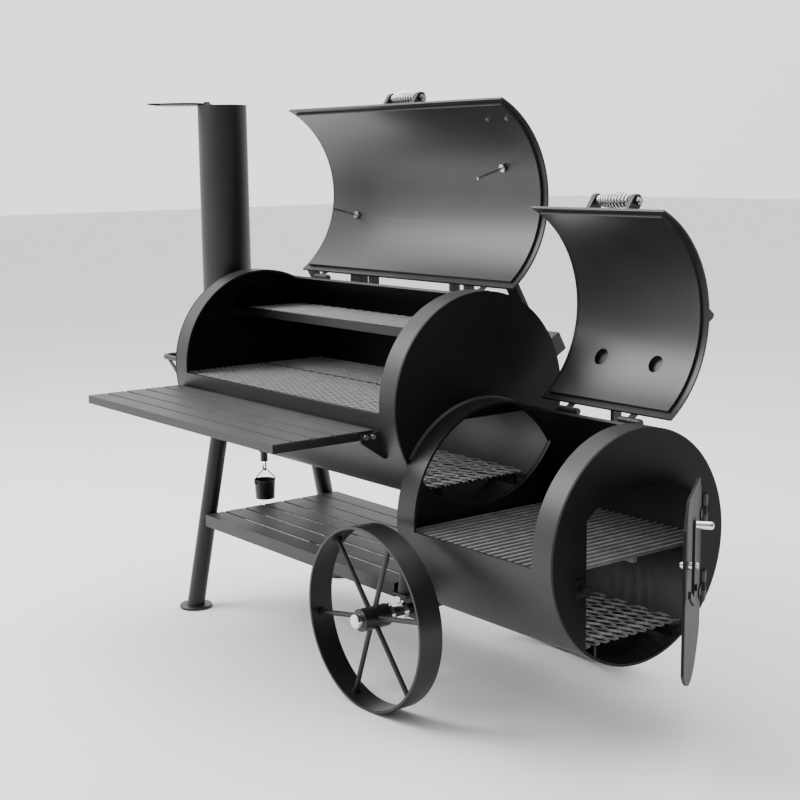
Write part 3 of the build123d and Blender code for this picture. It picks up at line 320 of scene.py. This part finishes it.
def spring_grip(name, node, body):
    """One length of round wire wound close round the handle's bolt, fullest in the middle like a barrel."""
    low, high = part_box(node)
    middle = [(a + b) / 2 for a, b in zip(low, high)]
    length = high[0] - low[0] - 2 * GRIP_WIRE_R
    pitch = length / GRIP_TURNS
    full_r = (high[2] - low[2]) / 2 - GRIP_WIRE_R
    bpy.ops.object.select_all(action="DESELECT")
    bpy.ops.mesh.primitive_circle_add(vertices=GRIP_WIRE_SIDES, radius=GRIP_WIRE_R,
                                      location=(-length / 2, 0, GRIP_END_R),
                                      rotation=(math.radians(90), 0, 0))
    grip = bpy.context.object
    bpy.ops.object.transform_apply(location=True, rotation=True, scale=True)
    wind = grip.modifiers.new("wind", "SCREW")
    wind.axis = "X"
    wind.steps = wind.render_steps = GRIP_TURN_STEPS
    wind.iterations = GRIP_TURNS
    wind.screw_offset = pitch
    bpy.ops.object.modifier_apply(modifier=wind.name)
    grip = start(name)
    bpy.ops.mesh.remove_doubles(threshold=SEAM_GAP)
    bpy.ops.mesh.select_all(action="DESELECT")
    bpy.ops.mesh.select_non_manifold()
    bpy.ops.mesh.edge_face_add()
    bpy.ops.mesh.select_all(action="SELECT")
    bpy.ops.mesh.normals_make_consistent(inside=False)
    bpy.ops.object.mode_set(mode="OBJECT")
    swell = full_r / GRIP_END_R - 1
    for vertex in grip.data.vertices:
        along = 2 * vertex.co.x / (length + 2 * GRIP_WIRE_R)
        out = math.hypot(vertex.co.y, vertex.co.z)
        spread = 1 + swell * max(0.0, 1 - along ** 2) * GRIP_END_R / out
        vertex.co.y *= spread
        vertex.co.z *= spread
    grip.location = middle
    finish_piece(grip, CHROME, body, smooth=GRIP_SMOOTH)
    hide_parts(node)


def make_grips():
    """The grips of both lids' handles."""
    spring_grip("main_lid_coil_grip", "main_lid_spring_grip", "main_lid")
    spring_grip("firebox_lid_coil_grip", "firebox_lid_spring_grip", "firebox_lid")


# ---- floor, light and camera ------------------------------------------------------------------------------
FLOOR_SIZE = 60
BRIGHT_SIDE = (-0.88, 0.12, 0.46)
WALL_DARK = 0.05
WALL_BRIGHT = 1.9
LIGHT_AIM = Vector((0, 0, 0.6))
# Each soft box: its name, place, width and power in watts.
LIGHTS = (("key_softbox", (-2.6, -2.6, 4.0), 2.8, 230), ("top_softbox", (-0.6, 0.6, 4.4), 3.0, 130))


def make_studio():
    """A pale floor, a room that is bright on one side, and two soft boxes."""
    bpy.ops.object.select_all(action="DESELECT")
    bpy.ops.mesh.primitive_plane_add(size=FLOOR_SIZE, location=(0, 0, 0))
    floor = bpy.context.object
    floor.name = "studio_floor"
    material, tree, shader, where = new_material("studio_floor_pale")
    speckle = add(tree, "ShaderNodeTexNoise", {"Scale": 2.0}, Vector=where)
    tone = add(tree, "ShaderNodeValToRGB", Fac=speckle.outputs["Fac"])
    colour_steps(tone, ((0.3, "#FAFAFA"), (0.7, "#FDFDFD")))
    tree.links.new(tone.outputs["Color"], shader.inputs["Base Color"])
    shader.inputs["Roughness"].default_value = 0.9
    shader.inputs["Specular IOR Level"].default_value = 0.1
    floor.data.materials.append(material)

    world = bpy.data.worlds.new("studio_air")
    bpy.context.scene.world = world
    world.use_nodes = True
    air = world.node_tree
    # The room is a pale wall on the left and above, and falls off to the right.
    way = add(air, "ShaderNodeTexCoord").outputs["Generated"]
    side = add(air, "ShaderNodeVectorMath", {"operation": "DOT_PRODUCT"})
    air.links.new(way, side.inputs[0])
    side.inputs[1].default_value = BRIGHT_SIDE
    reach = {"From Min": -0.6, "From Max": 0.75, "To Min": WALL_DARK, "To Max": WALL_BRIGHT}
    glow = add(air, "ShaderNodeMapRange", reach, Value=side.outputs["Value"])
    wall = air.nodes["Background"]
    wall.inputs["Color"].default_value = (1, 1, 1, 1)
    air.links.new(glow.outputs["Result"], wall.inputs["Strength"])

    for name, place, size, power in LIGHTS:
        light = bpy.data.lights.new(name, "AREA")
        light.size = size
        light.energy = power
        lamp = bpy.data.objects.new(name, light)
        lamp.location = place
        lamp.rotation_euler = (LIGHT_AIM - Vector(place)).to_track_quat("-Z", "Y").to_euler()
        bpy.context.scene.collection.objects.link(lamp)


CAMERA_AZIMUTH = 52.51
CAMERA_ELEVATION = 9.43
CAMERA_ROLL = -0.71
CAMERA_TARGET = (0.02939, 0.02567, 0.6532)
CAMERA_AWAY = 3.57973
CAMERA_LENS = 65.88
SENSOR_WIDTH = 36


def make_camera():
    """A camera that looks at its target from its azimuth and elevation, rolled a little."""
    turn = math.radians(CAMERA_AZIMUTH)
    lift = math.radians(CAMERA_ELEVATION)
    roll = math.radians(CAMERA_ROLL)
    ahead = Vector((-math.sin(turn) * math.cos(lift), math.cos(turn) * math.cos(lift), -math.sin(lift)))
    right = Vector((math.cos(turn), math.sin(turn), 0))
    up = right.cross(ahead)
    level_right = right * math.cos(roll) + up * math.sin(roll)
    level_up = up * math.cos(roll) - right * math.sin(roll)
    data = bpy.data.cameras.new("main_camera")
    data.lens = CAMERA_LENS
    data.sensor_width = SENSOR_WIDTH
    camera = bpy.data.objects.new("main_camera", data)
    turned = Matrix((level_right, level_up, -ahead)).transposed().to_4x4()
    place = Vector(CAMERA_TARGET) - ahead * CAMERA_AWAY
    camera.matrix_world = Matrix.Translation(place) @ turned
    bpy.context.scene.collection.objects.link(camera)
    bpy.context.scene.camera = camera


dress_frame()
make_grate_meshes()
make_grips()
make_studio()
make_camera()
